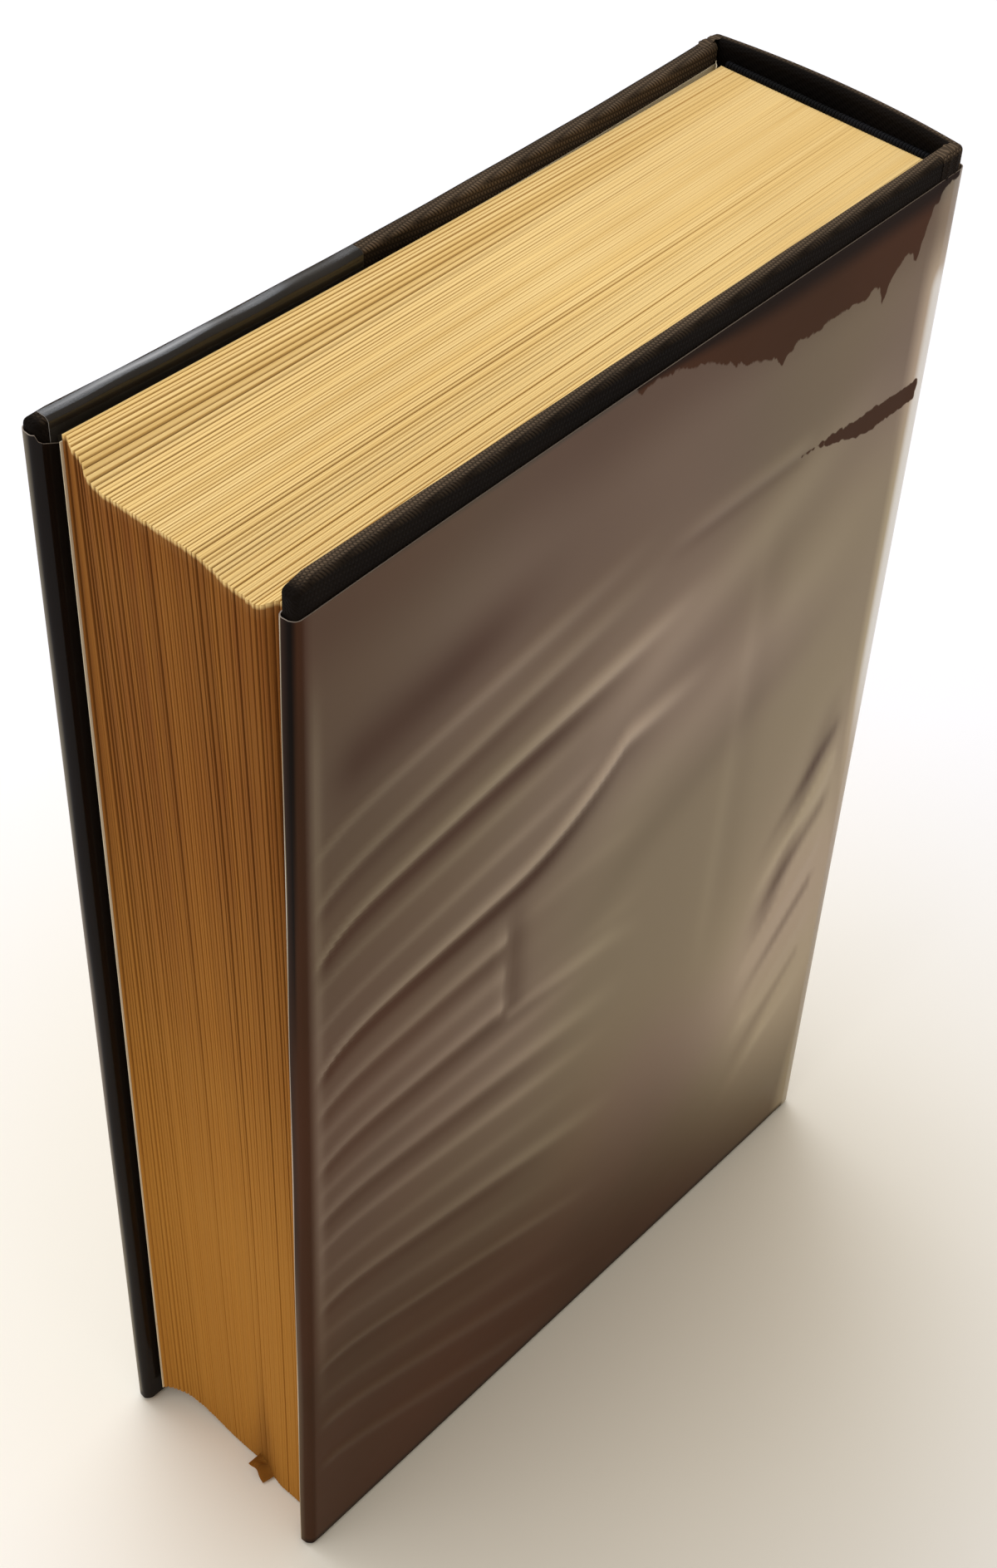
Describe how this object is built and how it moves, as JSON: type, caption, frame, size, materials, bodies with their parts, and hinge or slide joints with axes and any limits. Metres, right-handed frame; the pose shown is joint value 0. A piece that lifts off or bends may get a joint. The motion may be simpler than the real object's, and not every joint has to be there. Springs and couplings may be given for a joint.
{
  "type": "hardback book",
  "caption": "Thick cloth-bound hardback book in a glossy laminated paper jacket, standing on its tail edge; both covers open on hinges at the square, slightly bulged spine.",
  "frame": {"origin": "under the middle of the closed book, on the surface it stands on", "axes": "+Z from the tail to the head, +X from the fore-edge to the spine, +Y from the back cover to the front cover"},
  "size_m": [0.1289, 0.043, 0.2061],
  "materials": {
    "leaves": "aged, uncoated",
    "endpaper": "aged, uncoated",
    "lining_paper": "uncoated",
    "band": "woven",
    "mull": "open gauze",
    "board": "matte",
    "book_cloth": "matte woven",
    "jacket": "glossy laminated"
  },
  "bodies": {
    "book": {"text_block": "leaves", "headband": "band", "tailband": "band", "spine_mull": "mull", "spine_lining": "lining_paper", "front_flyleaf": "endpaper", "back_flyleaf": "endpaper", "spine_strip": "board", "spine_cloth": "book_cloth", "jacket_spine": "jacket"},
    "front_cover": {"front_board": "board", "front_cloth": "book_cloth", "front_pastedown": "endpaper", "jacket_front": "jacket"},
    "back_cover": {"back_board": "board", "back_cloth": "book_cloth", "back_pastedown": "endpaper", "jacket_back": "jacket"}
  },
  "joints": [
    {"name": "front_cover_hinge", "type": "hinge", "parent": "book", "child": "front_cover", "pos_m": [0.0601, 0.02155, 0.103], "axis": [0, 0, -1], "range_deg": [0, 180]},
    {"name": "back_cover_hinge", "type": "hinge", "parent": "book", "child": "back_cover", "pos_m": [0.0601, -0.02155, 0.103], "axis": [0, 0, 1], "range_deg": [0, 180]}
  ]
}
